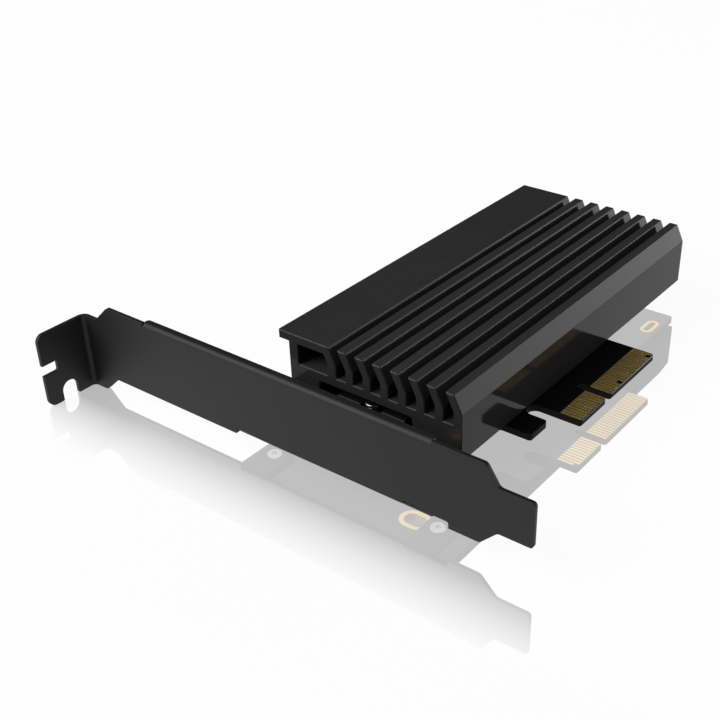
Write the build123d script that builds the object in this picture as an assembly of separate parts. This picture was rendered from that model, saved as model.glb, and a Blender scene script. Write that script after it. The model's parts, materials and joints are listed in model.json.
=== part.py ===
from build123d import *
import os

os.makedirs("parts", exist_ok=True)

# Frame: the origin is the middle of the key notch at the tip of the contact tongue, on the face of the
# board that carries the heatsink. +X is the way the tongue enters its slot, +Y runs along the board
# away from the bracket, and +Z points out of that face. All sizes are millimetres.

# Circuit board, measured from the tip of the tongue (X) and from the key notch (Y)
BOARD_THICKNESS = 1.57
TIP_TO_LONG_EDGE = 13.4
TIP_TO_FAR_EDGE = 60.9
KEY_TO_FRONT_EDGE = 53.7
KEY_TO_REAR_EDGE = 62.9
BOARD_CORNER = 0.8
INNER_CORNER = 0.5
FOOT_REACH = 8.6
FOOT_WIDTH = 10.8

# Contact tongue with its key notch, and the locating tab beside it
TONGUE_FRONT = 12.15
TONGUE_REAR = 22.15
TONGUE_CORNER = 0.8
TIP_BEVEL = 0.25
KEY_WIDTH = 1.9
KEY_DEPTH = 7.6
KEY_END_RADIUS = 0.9
TAB_WIDTH = 6.8
TAB_REACH = 7.5
TAB_GAP = 3.95
TAB_GAP_END_RADIUS = 1.9
TAB_GAP_BRIDGE = 1.4

# Contact fingers: pads on both faces, the first ones 1.5 pitches from the middle of the key
FINGER_PITCH = 1.0
FINGER_WIDTH = 0.7
FINGER_LENGTH = 5.0
FINGER_INSET = 0.3
FINGER_PLATING = 0.05
FINGERS_BEFORE_KEY = 11
FINGERS_AFTER_KEY = 21
FIRST_FINGER = 1.5
SHORT_FINGER_CUT = 1.1
SHORT_FINGERS_COMPONENT_SIDE = (5, 19)
SHORT_FINGERS_SOLDER_SIDE = (-11,)

# Plated oval slots: one behind the bracket, lying along X, and one at the rear, lying along Y
PLATING = 0.06
FRONT_SLOT_LENGTH = 5.2
FRONT_SLOT_WIDTH = 3.5
FRONT_SLOT_LAND = 1.0
FRONT_SLOT_TO_TIP = 17.95
FRONT_SLOT_TO_EDGE = 6.6
REAR_SLOT_LENGTH = 5.2
REAR_SLOT_WIDTH = 1.6
REAR_SLOT_LAND = 0.9
REAR_SLOT_TO_TIP = 16.0
REAR_SLOT_TO_EDGE = 8.6

# Bracket: a full-height expansion-slot bracket folded from one sheet
SHEET = 0.86
BEND_INNER_RADIUS = 0.4
FLANGE_BEND_RADIUS = 1.0
BRACKET_LENGTH = 120.02
PLATE_WIDTH = 18.42
FLANGE_TO_TIP = 105.87
BOARD_GAP = 0.34
PLATE_BELOW_TABS = 0.41
FLANGE_OFFSET = 4.0
FLANGE_WIDTH = 18.3
FLANGE_DEPTH = 12.9
FLANGE_CORNER = 1.9
NECK_LENGTH = 5.0
NECK_SLOPE_RUN = 4.3
SHOULDER_RADIUS = 1.2
END_TONGUE_WIDTH = 10.19
END_TONGUE_LENGTH = 7.6
END_TONGUE_RISE = 3.9
END_SLOPE_RUN_LOW = 3.9
END_SLOPE_RUN_TOP = 2.9
END_TONGUE_CORNER = 0.8
SCREW_SLOT_WIDTH = 4.2
SCREW_SLOT_DEPTH = 4.35
SCREW_SLOT_TO_FACE = 6.8
SCREW_SLOT_MOUTH_RADIUS = 0.3
PEG_NOTCH_WIDTH = 2.6
PEG_NOTCH_DEPTH = 3.9
PEG_NOTCH_RISE = 8.1
PEG_NOTCH_CORNER = 0.4
LIP_START = 20.8
LIP_LENGTH = 76.7
LIP_DEPTH = 2.05
LIP_CORNER = 0.7
BOARD_TAB_WIDTH = 6.7
BOARD_TAB_DEPTH = 10.4
BOARD_TAB_CORNER = 1.5
RECESS_DEPTH = 1.1
RELIEF_DEPTH = 1.5
RELIEF_LENGTH = 4.1

# Bracket screws and nuts, one through each tab
BRACKET_SCREW_TO_TIP = 11.87
BRACKET_SCREW_SPACING = 43.8
BRACKET_SCREW_TO_FACE = 7.1
BRACKET_SCREW_RADIUS = 1.0
BRACKET_SCREW_HEAD_RADIUS = 1.7
BRACKET_SCREW_HEAD_HEIGHT = 0.9
BRACKET_NUT_FLATS = 4.0
BRACKET_NUT_HEIGHT = 1.6

# Heatsink: one extrusion along Y with a slab, a hollow below it, chevron fins and a drive channel
HEATSINK_LENGTH = 99.9
HEATSINK_TO_REAR_EDGE = 2.2
HEATSINK_PAST_EDGE = 1.2
BODY_WIDTH = 45.05
BODY_HEIGHT = 15.15
SLAB_THICKNESS = 2.1
SLAB_OVERHANG = 2.7
GROOVE_COUNT = 7
GROOVE_WIDTH = 2.47
FIN_THICKNESS = 2.11
GROOVE_FLOOR = 8.15
BEND_HEIGHT = 11.1
FIN_LEAN = 2.0
HOLLOW_LEFT_WALL = 2.6
HOLLOW_RIGHT_WALL = 2.35
HOLLOW_CORNER = 0.3
CHANNEL_WIDTH = 24.5
CHANNEL_HEIGHT = 5.9
CHANNEL_CORNER = 0.8
EDGE_BREAK = 0.2

# Heatsink screws: from the solder side through the board into the feet
HEATSINK_SCREW_RADIUS = 1.25
HEATSINK_SCREW_HEAD_RADIUS = 2.25
HEATSINK_SCREW_HEAD_HEIGHT = 1.0
HEATSINK_SCREW_GRIP = 4.5
HEATSINK_HOLE_DEPTH = 5.2
HEATSINK_SCREW_FROM_FRONT = 8.8
HEATSINK_SCREW_SPACING = 66.0

# Drive seat: the drive lies along Y, its notched end on a post, its contact edge in a socket
DRIVE_TO_TIP = 36.8
DRIVE_THICKNESS = 0.8
DRIVE_HEIGHT = 2.45
DRIVE_LENGTHS = (80.0, 60.0, 42.0, 30.0)
POST_INSET = 2.9
POST_RADIUS = 2.0
POST_THREAD_DEPTH = 2.8
STUD_RADIUS = 1.5
STUD_PAST_NUT = 0.3
STANDOFF_NUT_FLATS = 5.5
STANDOFF_NUT_HEIGHT = 1.2
DRIVE_SCREW_RADIUS = 1.0
DRIVE_SCREW_LENGTH = 3.2
DRIVE_SCREW_HEAD_RADIUS = 1.75
DRIVE_SCREW_HEAD_HEIGHT = 0.6

# Thermal pads below and above the drive, uncompressed
BOARD_PAD_WIDTH = 18.2
BOARD_PAD_LENGTH = 74.0
BOARD_PAD_THICKNESS = 2.8
BOARD_PAD_INSET = 1.8
PAD_NOTCH_WIDTH = 5.4
TOP_PAD_WIDTH = 20.0
TOP_PAD_LENGTH = 68.0
TOP_PAD_THICKNESS = 1.3
TOP_PAD_INSET = 6.0

# Drive socket: a moulded housing with two rows of contacts, staggered by half a pitch
SOCKET_WIDTH = 21.9
SOCKET_DEPTH = 8.7
SOCKET_HEIGHT = 4.1
SOCKET_ENGAGEMENT = 4.0
SOCKET_SLOT_WIDTH = 20.1
SOCKET_SLOT_HEIGHT = 1.1
SOCKET_SLOT_DEPTH = 4.3
SOCKET_LEAD_IN = 0.4
SOCKET_PEG_RADIUS = 0.55
SOCKET_PEG_LENGTH = 1.1
SOCKET_PEG_SPACING = 19.0
SOCKET_KEY_WIDTH = 1.2
PIN_PITCH = 0.5
PIN_COUNT = 75
KEY_PINS = range(59, 67)
PIN_WIDTH = 0.22
PIN_THICKNESS = 0.15
PIN_FOOT = 0.9
PIN_RISER_INSET = 0.8
PIN_TIP_INSET = 0.9

# Ceramic supply capacitors behind the socket
CAPACITOR_COUNT = 4
CAPACITOR_LENGTH = 3.2
CAPACITOR_WIDTH = 1.6
CAPACITOR_HEIGHT = 1.5
CAPACITOR_CORNER = 0.2
CAPACITOR_SPACING = 5.0
CAPACITOR_BEHIND_SOCKET = 4.0

# Cross recess of every screw head
CROSS_DEPTH_SHARE = 0.55
CROSS_ARM_WIDTH = 0.45
CROSS_SPAN_SHARE = 0.55

# Clearances, and how close to a plane an edge has to lie to be found on it
HOLE_CLEARANCE = 0.15
THREAD_CLEARANCE = 0.05
MOULDED_CLEARANCE = 0.03
EDGE_SEARCH = 0.01

# Places worked out from the sizes above
x_far = -TIP_TO_FAR_EDGE
x_long = -TIP_TO_LONG_EDGE
y_front = -KEY_TO_FRONT_EDGE
y_rear = KEY_TO_REAR_EDGE
z_solder = -BOARD_THICKNESS
y_inner = y_front - BOARD_GAP
y_outer = y_inner - SHEET
x_flange = -FLANGE_TO_TIP
z_seat = z_solder - PLATING
z_tab = z_seat - SHEET
plate_low = z_tab - PLATE_BELOW_TABS
plate_top = plate_low + PLATE_WIDTH
flange_low = plate_low - FLANGE_OFFSET
bend_outer_radius = BEND_INNER_RADIUS + SHEET
flange_bend_end = x_flange + FLANGE_BEND_RADIUS + SHEET
bracket_screws = [(-BRACKET_SCREW_TO_TIP - i * BRACKET_SCREW_SPACING, y_outer + BRACKET_SCREW_TO_FACE)
                  for i in range(2)]
x_wall = x_long + HEATSINK_PAST_EDGE
x_back_wall = x_wall - BODY_WIDTH
sink_rear = y_rear - HEATSINK_TO_REAR_EDGE
sink_front = sink_rear - HEATSINK_LENGTH
x_drive = -DRIVE_TO_TIP
y_post = sink_front + POST_INSET
feet = [((x_drive + CHANNEL_WIDTH / 2 + x_wall) / 2), ((x_drive - CHANNEL_WIDTH / 2 + x_back_wall) / 2)]
heatsink_screws = [(x, sink_front + HEATSINK_SCREW_FROM_FRONT + i * HEATSINK_SCREW_SPACING)
                   for x in feet for i in range(2)]
spare_posts = [y_post + DRIVE_LENGTHS[0] - length for length in DRIVE_LENGTHS[1:]]
socket_mouth = y_post + DRIVE_LENGTHS[0] - SOCKET_ENGAGEMENT
socket_back = socket_mouth + SOCKET_DEPTH
upper_beam = (DRIVE_HEIGHT + DRIVE_THICKNESS, DRIVE_HEIGHT + DRIVE_THICKNESS + PIN_THICKNESS)
lower_beam = (DRIVE_HEIGHT - MOULDED_CLEARANCE - PIN_THICKNESS, DRIVE_HEIGHT - MOULDED_CLEARANCE)
lower_riser = socket_mouth + PIN_RISER_INSET
lower_tip = socket_mouth + SOCKET_SLOT_DEPTH - PIN_TIP_INSET
socket_pegs = [(x_drive + side * SOCKET_PEG_SPACING / 2, (socket_mouth + socket_back) / 2) for side in (-1, 1)]
front_slot = (-FRONT_SLOT_TO_TIP, y_front + FRONT_SLOT_TO_EDGE)
rear_slot = (-REAR_SLOT_TO_TIP, y_rear - REAR_SLOT_TO_EDGE)


def outline(corners):
    """Closed face through (x, y, corner radius) triples."""
    points = [(x, y) for x, y, radius in corners]
    return make_face(FilletPolyline(*points, radius=[radius for x, y, radius in corners], close=True))


def block(x_range, y_range, z_range):
    """Box between two values on each axis."""
    sizes = [high - low for low, high in (x_range, y_range, z_range)]
    middles = [(high + low) / 2 for low, high in (x_range, y_range, z_range)]
    return Pos(*middles) * Box(*sizes)


def peg(x, y, z_low, z_high, radius):
    """Upright cylinder between two heights."""
    return Pos(x, y, (z_low + z_high) / 2) * Cylinder(radius, z_high - z_low)


def hex_nut(x, y, z_low, flats, height, bore):
    """Hexagonal nut standing on z_low."""
    face = RegularPolygon(flats / 2, 6, major_radius=False, rotation=30) - Circle(bore)
    return Pos(x, y, z_low) * extrude(face, height)


def cross_head(radius, height, rim):
    """Screw head from z = 0 up to its cross recess, with a sloping rim."""
    head = extrude(Circle(radius), height)
    head = chamfer(head.edges().group_by(Axis.Z)[-1], rim)
    for angle in (0, 90):
        arm = Box(2 * radius * CROSS_SPAN_SHARE, CROSS_ARM_WIDTH, 2 * height * CROSS_DEPTH_SHARE)
        head -= Pos(0, 0, height) * Rot(0, 0, angle) * arm
    return head


def screw_up(x, y, z_seat, radius, length, head_radius, head_height):
    """Screw whose head lies below z_seat and whose shank points up."""
    head = Rot(180, 0, 0) * cross_head(head_radius, head_height, head_height * 0.4)
    return Pos(x, y, z_seat) * (head + extrude(Circle(radius), length))


def oval(length, width, along_y):
    """Slot-shaped face, lying along X or along Y."""
    return Rot(0, 0, 90 if along_y else 0) * SlotOverall(length, width)


def board():
    """Board with foot, locating tab, keyed tongue, plated slots and fastener holes."""
    foot = x_long + FOOT_REACH
    foot_end = y_front + FOOT_WIDTH
    tab_rear = -TONGUE_FRONT - TAB_GAP
    tab_front = tab_rear - TAB_WIDTH
    bridge = x_long + TAB_GAP_BRIDGE
    face = outline([
        (x_far, y_front, BOARD_CORNER), (foot, y_front, BOARD_CORNER),
        (foot, foot_end, BOARD_CORNER), (x_long, foot_end, INNER_CORNER),
        (x_long, tab_front, INNER_CORNER), (x_long + TAB_REACH, tab_front, BOARD_CORNER),
        (x_long + TAB_REACH, tab_rear, BOARD_CORNER), (bridge, tab_rear, TAB_GAP_END_RADIUS),
        (bridge, -TONGUE_FRONT, TAB_GAP_END_RADIUS), (0, -TONGUE_FRONT, TONGUE_CORNER),
        (0, -KEY_WIDTH / 2, TONGUE_CORNER), (-KEY_DEPTH, -KEY_WIDTH / 2, KEY_END_RADIUS),
        (-KEY_DEPTH, KEY_WIDTH / 2, KEY_END_RADIUS), (0, KEY_WIDTH / 2, TONGUE_CORNER),
        (0, TONGUE_REAR, TONGUE_CORNER), (x_long, TONGUE_REAR, INNER_CORNER),
        (x_long, y_rear, BOARD_CORNER), (x_far, y_rear, BOARD_CORNER)])
    for x, y in bracket_screws:
        face -= Pos(x, y) * Circle(BRACKET_SCREW_RADIUS + HOLE_CLEARANCE)
    for x, y in heatsink_screws:
        face -= Pos(x, y) * Circle(HEATSINK_SCREW_RADIUS + HOLE_CLEARANCE)
    for x, y in socket_pegs:
        face -= Pos(x, y) * Circle(SOCKET_PEG_RADIUS + MOULDED_CLEARANCE)
    for y in [y_post] + spare_posts:
        face -= Pos(x_drive, y) * Circle(STUD_RADIUS + THREAD_CLEARANCE)
    face -= Pos(*front_slot) * oval(FRONT_SLOT_LENGTH, FRONT_SLOT_WIDTH, False)
    face -= Pos(*rear_slot) * oval(REAR_SLOT_LENGTH, REAR_SLOT_WIDTH, True)
    solid = extrude(face, -BOARD_THICKNESS)
    for z, side in ((0, -1), (z_solder, 1)):
        wedge = make_face(Polyline((0, z), (-TIP_BEVEL, z), (0, z + side * TIP_BEVEL), close=True))
        span = TONGUE_FRONT + TONGUE_REAR
        solid -= Pos(0, TONGUE_REAR, 0) * extrude(Plane.XZ * wedge, span)
    return solid


def slot_plating(place, length, width, land, along_y, lands):
    """Plated wall of an oval slot, with a land on each face of the board that is named in lands."""
    wall = oval(length, width, along_y) - oval(length - 2 * PLATING, width - 2 * PLATING, along_y)
    rim = oval(length + 2 * land, width + 2 * land, along_y)
    rim -= oval(length - 2 * PLATING, width - 2 * PLATING, along_y)
    sleeve = extrude(wall, -BOARD_THICKNESS)
    for z, side in lands:
        sleeve += Pos(0, 0, z) * extrude(rim, side * PLATING)
    return Pos(*place, 0) * sleeve


def finger_rows():
    """Index and Y place of every contact finger, counted from the key notch."""
    before = [(-1 - i, -FIRST_FINGER - i * FINGER_PITCH) for i in range(FINGERS_BEFORE_KEY)]
    after = [(i, FIRST_FINGER + i * FINGER_PITCH) for i in range(FINGERS_AFTER_KEY)]
    return before + after


def edge_contacts(z_face, side, short_fingers):
    """Row of contact fingers on one face of the tongue."""
    fingers = []
    for index, y in finger_rows():
        inset = FINGER_INSET + (SHORT_FINGER_CUT if index in short_fingers else 0)
        x_range = (-FINGER_INSET - FINGER_LENGTH, -inset)
        y_range = (y - FINGER_WIDTH / 2, y + FINGER_WIDTH / 2)
        z_range = sorted((z_face, z_face + side * FINGER_PLATING))
        fingers.append(block(x_range, y_range, z_range))
    return Compound(children=fingers)


def fold(plane, points, inner_radius, start, run):
    """Strip of sheet bent along a path in a plane and drawn out along the plane's normal."""
    path = FilletPolyline(*points, radius=inner_radius + SHEET / 2)
    return plane.offset(start) * extrude(trace(path, SHEET), run)


def bracket_plate():
    """Flat plate with the neck's slopes, the recess over the board and the end tongue."""
    neck = flange_bend_end
    neck_end = x_flange + NECK_LENGTH
    slope_end = neck_end + NECK_SLOPE_RUN
    recess = bracket_screws[1][0] - BOARD_TAB_WIDTH / 2
    recess_end = bracket_screws[0][0] + BOARD_TAB_WIDTH / 2
    relief_end = recess_end + RELIEF_LENGTH
    tip = x_flange + BRACKET_LENGTH
    root = tip - END_TONGUE_LENGTH
    tongue_low = plate_low + END_TONGUE_RISE
    tongue_top = tongue_low + END_TONGUE_WIDTH
    flange_top = flange_low + FLANGE_WIDTH
    face = outline([
        (neck, flange_low, 0), (neck_end, flange_low, SHOULDER_RADIUS),
        (slope_end, plate_low, SHOULDER_RADIUS), (recess, plate_low, INNER_CORNER),
        (recess, plate_low + RECESS_DEPTH, INNER_CORNER), (recess_end, plate_low + RECESS_DEPTH, 0),
        (recess_end, plate_low + RELIEF_DEPTH, 0), (relief_end, plate_low + RELIEF_DEPTH, INNER_CORNER),
        (relief_end, plate_low, 0), (root - END_SLOPE_RUN_LOW, plate_low, SHOULDER_RADIUS),
        (root, tongue_low, SHOULDER_RADIUS), (tip, tongue_low, END_TONGUE_CORNER),
        (tip, tongue_top, END_TONGUE_CORNER), (root, tongue_top, SHOULDER_RADIUS),
        (root - END_SLOPE_RUN_TOP, plate_top, SHOULDER_RADIUS), (slope_end, plate_top, SHOULDER_RADIUS),
        (neck_end, flange_top, SHOULDER_RADIUS), (neck, flange_top, 0)])
    return Pos(0, y_outer, 0) * extrude(Plane.XZ * face, -SHEET)


def bracket_flange():
    """Folded screw flange with its open screw slot and peg notch."""
    x_mid = x_flange + SHEET / 2
    y_tip = y_outer - FLANGE_DEPTH
    y_mid = y_outer + SHEET / 2
    path = [(x_mid, y_tip), (x_mid, y_mid), (flange_bend_end + SHEET, y_mid)]
    strip = fold(Plane.XY, path, FLANGE_BEND_RADIUS, flange_low, FLANGE_WIDTH)
    strip = fillet(strip.edges().filter_by(Axis.X).group_by(Axis.Y)[0], FLANGE_CORNER)
    radius = SCREW_SLOT_WIDTH / 2
    y_slot = y_outer - SCREW_SLOT_TO_FACE
    arc_centre = flange_low + SCREW_SLOT_DEPTH - radius
    through = (x_flange - SHEET, x_flange + 2 * SHEET)
    strip -= block(through, (y_slot - radius, y_slot + radius), (flange_low - radius, arc_centre))
    strip -= Pos(x_mid, y_slot, arc_centre) * Rot(0, 90, 0) * Cylinder(radius, 3 * SHEET)
    reach = radius + EDGE_SEARCH
    mouth = strip.edges().filter_by(Axis.X).filter_by_position(Axis.Y, y_slot - reach, y_slot + reach)
    strip = fillet(mouth.group_by(Axis.Z)[0], SCREW_SLOT_MOUTH_RADIUS)
    notch = Rectangle(2 * PEG_NOTCH_DEPTH, PEG_NOTCH_WIDTH)
    notch = fillet(notch.vertices(), PEG_NOTCH_CORNER)
    notch_middle = flange_low + PEG_NOTCH_RISE + PEG_NOTCH_WIDTH / 2
    return strip - Plane.YZ.offset(through[0]) * Pos(y_tip, notch_middle) * extrude(notch, 3 * SHEET)


def bracket():
    """Folded bracket: plate, flange, stiffening lip along the top and two tabs under the board."""
    sheet = bracket_plate() + bracket_flange()
    through = (y_outer - SHEET, y_inner + SHEET)
    y_mid = y_outer + SHEET / 2
    lip_start = x_flange + LIP_START
    lip_end = lip_start + LIP_LENGTH
    z_bend = plate_top - bend_outer_radius
    sheet -= block((lip_start, lip_end), through, (z_bend, plate_top + SHEET))
    path = [(y_mid, z_bend - SHEET), (y_mid, plate_top - SHEET / 2), (y_outer + LIP_DEPTH, plate_top - SHEET / 2)]
    lip = fold(Plane.YZ, path, BEND_INNER_RADIUS, lip_start, LIP_LENGTH)
    sheet += fillet(lip.edges().filter_by(Axis.Z).group_by(Axis.Y)[-1], LIP_CORNER)
    z_bend = z_tab + bend_outer_radius
    for x, y in bracket_screws:
        start = x - BOARD_TAB_WIDTH / 2
        sheet -= block((start, start + BOARD_TAB_WIDTH), through, (plate_low - SHEET, z_bend))
        path = [(y_mid, z_bend + SHEET), (y_mid, z_tab + SHEET / 2), (y_outer + BOARD_TAB_DEPTH, z_tab + SHEET / 2)]
        tab = fold(Plane.YZ, path, BEND_INNER_RADIUS, start, BOARD_TAB_WIDTH)
        tab = fillet(tab.edges().filter_by(Axis.Z).group_by(Axis.Y)[-1], BOARD_TAB_CORNER)
        tab -= peg(x, y, z_tab - SHEET, z_seat + SHEET, BRACKET_SCREW_RADIUS + HOLE_CLEARANCE)
        sheet += tab
    return sheet


def groove(right_edge):
    """Chevron groove between two fins, open at the top, given the groove's right edge."""
    left_edge = right_edge - GROOVE_WIDTH
    rise = BODY_HEIGHT - BEND_HEIGHT
    past = 1 + EDGE_BREAK / rise
    top = BEND_HEIGHT + rise * past
    lean = FIN_LEAN * past
    return make_face(Polyline(
        (left_edge, GROOVE_FLOOR), (right_edge, GROOVE_FLOOR), (right_edge, BEND_HEIGHT),
        (right_edge - lean, top), (left_edge - lean, top), (left_edge, BEND_HEIGHT), close=True))


def heatsink():
    """Extruded heatsink, cut to length, with its cut ends broken and four blind screw holes."""
    z_slab = BODY_HEIGHT - SLAB_THICKNESS
    profile = make_face(Polyline(
        (x_back_wall, 0), (x_wall, 0), (x_wall, BEND_HEIGHT), (x_wall - FIN_LEAN, BODY_HEIGHT),
        (x_back_wall - SLAB_OVERHANG, BODY_HEIGHT), (x_back_wall - SLAB_OVERHANG, z_slab),
        (x_back_wall, z_slab), close=True))
    pitch = GROOVE_WIDTH + FIN_THICKNESS
    edges = [x_wall - FIN_THICKNESS - i * pitch for i in range(GROOVE_COUNT)]
    for edge in edges:
        profile -= groove(edge)
    hollow_left = x_back_wall + HOLLOW_LEFT_WALL
    hollow_right = edges[-1] - GROOVE_WIDTH - HOLLOW_RIGHT_WALL
    slope = FIN_LEAN / (BODY_HEIGHT - BEND_HEIGHT)
    profile -= outline([
        (hollow_left, GROOVE_FLOOR, HOLLOW_CORNER), (hollow_right, GROOVE_FLOOR, HOLLOW_CORNER),
        (hollow_right, BEND_HEIGHT, HOLLOW_CORNER),
        (hollow_right - slope * (z_slab - BEND_HEIGHT), z_slab, HOLLOW_CORNER),
        (hollow_left, z_slab, HOLLOW_CORNER)])
    low = x_drive - CHANNEL_WIDTH / 2
    high = x_drive + CHANNEL_WIDTH / 2
    profile -= outline([
        (low, -CHANNEL_HEIGHT, 0), (high, -CHANNEL_HEIGHT, 0), (high, CHANNEL_HEIGHT, CHANNEL_CORNER),
        (low, CHANNEL_HEIGHT, CHANNEL_CORNER)])
    body = Pos(0, sink_rear, 0) * extrude(Plane.XZ * profile, HEATSINK_LENGTH)
    for end in (sink_front, sink_rear):
        rim = body.edges().filter_by_position(Axis.Y, end - EDGE_SEARCH, end + EDGE_SEARCH)
        body = chamfer(rim, EDGE_BREAK)
    for x, y in heatsink_screws:
        body -= peg(x, y, -EDGE_BREAK, HEATSINK_HOLE_DEPTH, HEATSINK_SCREW_RADIUS + THREAD_CLEARANCE)
    return body


def standoff():
    """Round post with a threaded hole on top and a stud through the board."""
    stud_end = z_solder - STANDOFF_NUT_HEIGHT - STUD_PAST_NUT
    post = chamfer(peg(0, 0, 0, DRIVE_HEIGHT, POST_RADIUS).edges().group_by(Axis.Z)[-1], EDGE_BREAK)
    stud = chamfer(peg(0, 0, stud_end, 0, STUD_RADIUS).edges().group_by(Axis.Z)[0], EDGE_BREAK)
    hole = peg(0, 0, DRIVE_HEIGHT - POST_THREAD_DEPTH, DRIVE_HEIGHT + EDGE_BREAK,
               DRIVE_SCREW_RADIUS + THREAD_CLEARANCE)
    return Pos(x_drive, y_post, 0) * (post + stud - hole)


def drive_screw():
    """Pan-head screw in the post, its head left as high as a drive's edge would hold it."""
    head = cross_head(DRIVE_SCREW_HEAD_RADIUS, DRIVE_SCREW_HEAD_HEIGHT, DRIVE_SCREW_HEAD_HEIGHT * 0.6)
    shank = extrude(Circle(DRIVE_SCREW_RADIUS), -DRIVE_SCREW_LENGTH)
    return Pos(x_drive, y_post, DRIVE_HEIGHT + DRIVE_THICKNESS) * (head + shank)


def board_thermal_pad():
    """Pad on the board under the drive, notched round the post."""
    front = sink_front + BOARD_PAD_INSET
    face = Pos(x_drive, front + BOARD_PAD_LENGTH / 2) * Rectangle(BOARD_PAD_WIDTH, BOARD_PAD_LENGTH)
    face -= Pos(x_drive, y_post) * Circle(PAD_NOTCH_WIDTH / 2)
    face -= Pos(x_drive, front) * Rectangle(PAD_NOTCH_WIDTH, 2 * (y_post - front))
    return extrude(face, BOARD_PAD_THICKNESS)


def heatsink_thermal_pad():
    """Pad on the channel's ceiling above the drive."""
    front = sink_front + TOP_PAD_INSET
    face = Pos(x_drive, front + TOP_PAD_LENGTH / 2) * Rectangle(TOP_PAD_WIDTH, TOP_PAD_LENGTH)
    return Pos(0, 0, CHANNEL_HEIGHT) * extrude(face, -TOP_PAD_THICKNESS)


def pin_places(first):
    """X places of one row of socket contacts, the key's pins left out."""
    middle = (PIN_COUNT + 1) / 2
    return [x_drive + (pin - middle) * PIN_PITCH / 2 for pin in range(first, PIN_COUNT + 1, 2)
            if pin not in KEY_PINS]


def upper_pin(x):
    """Contact above the drive's edge, bent down the housing's back to its foot on the board."""
    across = (x - PIN_WIDTH / 2, x + PIN_WIDTH / 2)
    riser = socket_back + MOULDED_CLEARANCE
    foot = block(across, (riser, socket_back + PIN_FOOT), (0, PIN_THICKNESS))
    rise = block(across, (riser, riser + PIN_THICKNESS), (0, upper_beam[1]))
    beam = block(across, (socket_mouth + PIN_TIP_INSET, riser + PIN_THICKNESS), upper_beam)
    return foot + rise + beam


def lower_pin(x):
    """Contact below the drive's edge, its foot on the board before the housing."""
    across = (x - PIN_WIDTH / 2, x + PIN_WIDTH / 2)
    foot = block(across, (socket_mouth - PIN_FOOT, lower_riser), (0, PIN_THICKNESS))
    rise = block(across, (lower_riser - PIN_THICKNESS, lower_riser), (0, lower_beam[1]))
    beam = block(across, (lower_riser - PIN_THICKNESS, lower_tip), lower_beam)
    return foot + rise + beam


def socket_contacts(pin, first):
    """One row of socket contacts."""
    return Compound(children=[pin(x) for x in pin_places(first)])


def pin_grooves(first, y_range, z_range):
    """Straight grooves of the housing, one for each contact of a row."""
    half = PIN_WIDTH / 2 + MOULDED_CLEARANCE
    return [block((x - half, x + half), y_range, z_range) for x in pin_places(first)]


def socket_housing():
    """Moulded socket with card slot, lead-in, key rib, locating pegs and one groove for each contact."""
    across = (x_drive - SOCKET_WIDTH / 2, x_drive + SOCKET_WIDTH / 2)
    housing = block(across, (socket_mouth, socket_back), (0, SOCKET_HEIGHT))
    slot_middle = DRIVE_HEIGHT + DRIVE_THICKNESS / 2
    slot_z = (slot_middle - SOCKET_SLOT_HEIGHT / 2, slot_middle + SOCKET_SLOT_HEIGHT / 2)
    slot_x = (x_drive - SOCKET_SLOT_WIDTH / 2, x_drive + SOCKET_SLOT_WIDTH / 2)
    slot = block(slot_x, (socket_mouth - SOCKET_LEAD_IN, socket_mouth + SOCKET_SLOT_DEPTH), slot_z)
    housing -= slot
    mouth = housing.edges().filter_by_position(Axis.Y, socket_mouth - EDGE_SEARCH, socket_mouth + EDGE_SEARCH)
    housing = chamfer(mouth.filter_by(Axis.X).filter_by_position(Axis.Z, *slot_z), SOCKET_LEAD_IN)
    housing -= block(slot_x, (socket_mouth, lower_riser), (0, PIN_THICKNESS + MOULDED_CLEARANCE))
    middle = (PIN_COUNT + 1) / 2
    key_x = x_drive + (sum(KEY_PINS) / len(KEY_PINS) - middle) * PIN_PITCH / 2
    housing += block((key_x - SOCKET_KEY_WIDTH / 2, key_x + SOCKET_KEY_WIDTH / 2),
                     (socket_mouth + SOCKET_LEAD_IN, socket_mouth + SOCKET_SLOT_DEPTH), slot_z)
    for x, y in socket_pegs:
        housing += peg(x, y, -SOCKET_PEG_LENGTH, 0, SOCKET_PEG_RADIUS)
    grooves = pin_grooves(1, (socket_mouth + PIN_TIP_INSET - MOULDED_CLEARANCE, socket_back),
                          (upper_beam[0] - MOULDED_CLEARANCE, upper_beam[1] + MOULDED_CLEARANCE))
    grooves += pin_grooves(2, (lower_riser - PIN_THICKNESS - MOULDED_CLEARANCE, lower_tip + MOULDED_CLEARANCE),
                           (0, lower_beam[1] + MOULDED_CLEARANCE))
    return housing - grooves


def capacitor(x, y):
    """Ceramic chip capacitor lying along X."""
    body = Box(CAPACITOR_LENGTH, CAPACITOR_WIDTH, CAPACITOR_HEIGHT)
    body = chamfer(body.edges().filter_by(Axis.X), CAPACITOR_CORNER)
    return Pos(x, y, CAPACITOR_HEIGHT / 2) * body


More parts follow.
